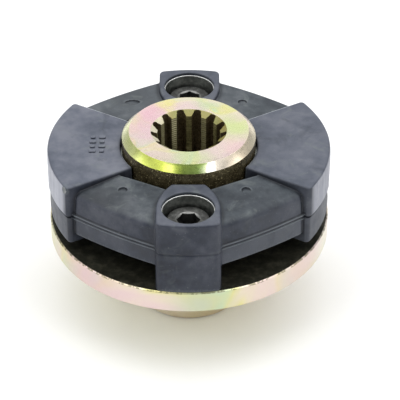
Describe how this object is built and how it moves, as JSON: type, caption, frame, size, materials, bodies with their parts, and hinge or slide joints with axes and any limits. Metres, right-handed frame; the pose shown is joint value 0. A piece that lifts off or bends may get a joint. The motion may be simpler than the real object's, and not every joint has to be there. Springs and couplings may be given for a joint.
{
  "type": "flexible shaft coupling",
  "caption": "Flexible shaft coupling: a splined hub and a flanged hub joined by a moulded rubber ring with metal inserts, held by socket head cap screws.",
  "frame": {"origin": "on the shaft axis, at the lower hub's end face, which is what the coupling stands on", "axes": "+Z along the shaft axis, from the flanged hub to the splined hub; the axial screws lie on Y and the radial screws on X; -Y faces the picture's camera"},
  "size_m": [0.0856, 0.085, 0.0592],
  "materials": {
    "flange_hub": "machined steel with yellow iridescent zinc passivate",
    "splined_hub": "machined steel with yellow iridescent zinc passivate",
    "rubber": "matte moulded rubber, dark blue-grey",
    "insert": "turned metal, dull",
    "screw": "dark alloy steel, satin",
    "set_screw": "black oxide"
  },
  "bodies": {
    "root": {"flange_hub": "flange_hub", "splined_hub": "splined_hub", "rubber_element": "rubber", "axial_insert_front": "insert", "axial_insert_rear": "insert", "radial_insert_left": "insert", "radial_insert_right": "insert", "axial_screw_front": "screw", "axial_screw_rear": "screw", "radial_screw_left": "screw", "radial_screw_right": "screw", "set_screw": "set_screw"}
  },
  "joints": []
}
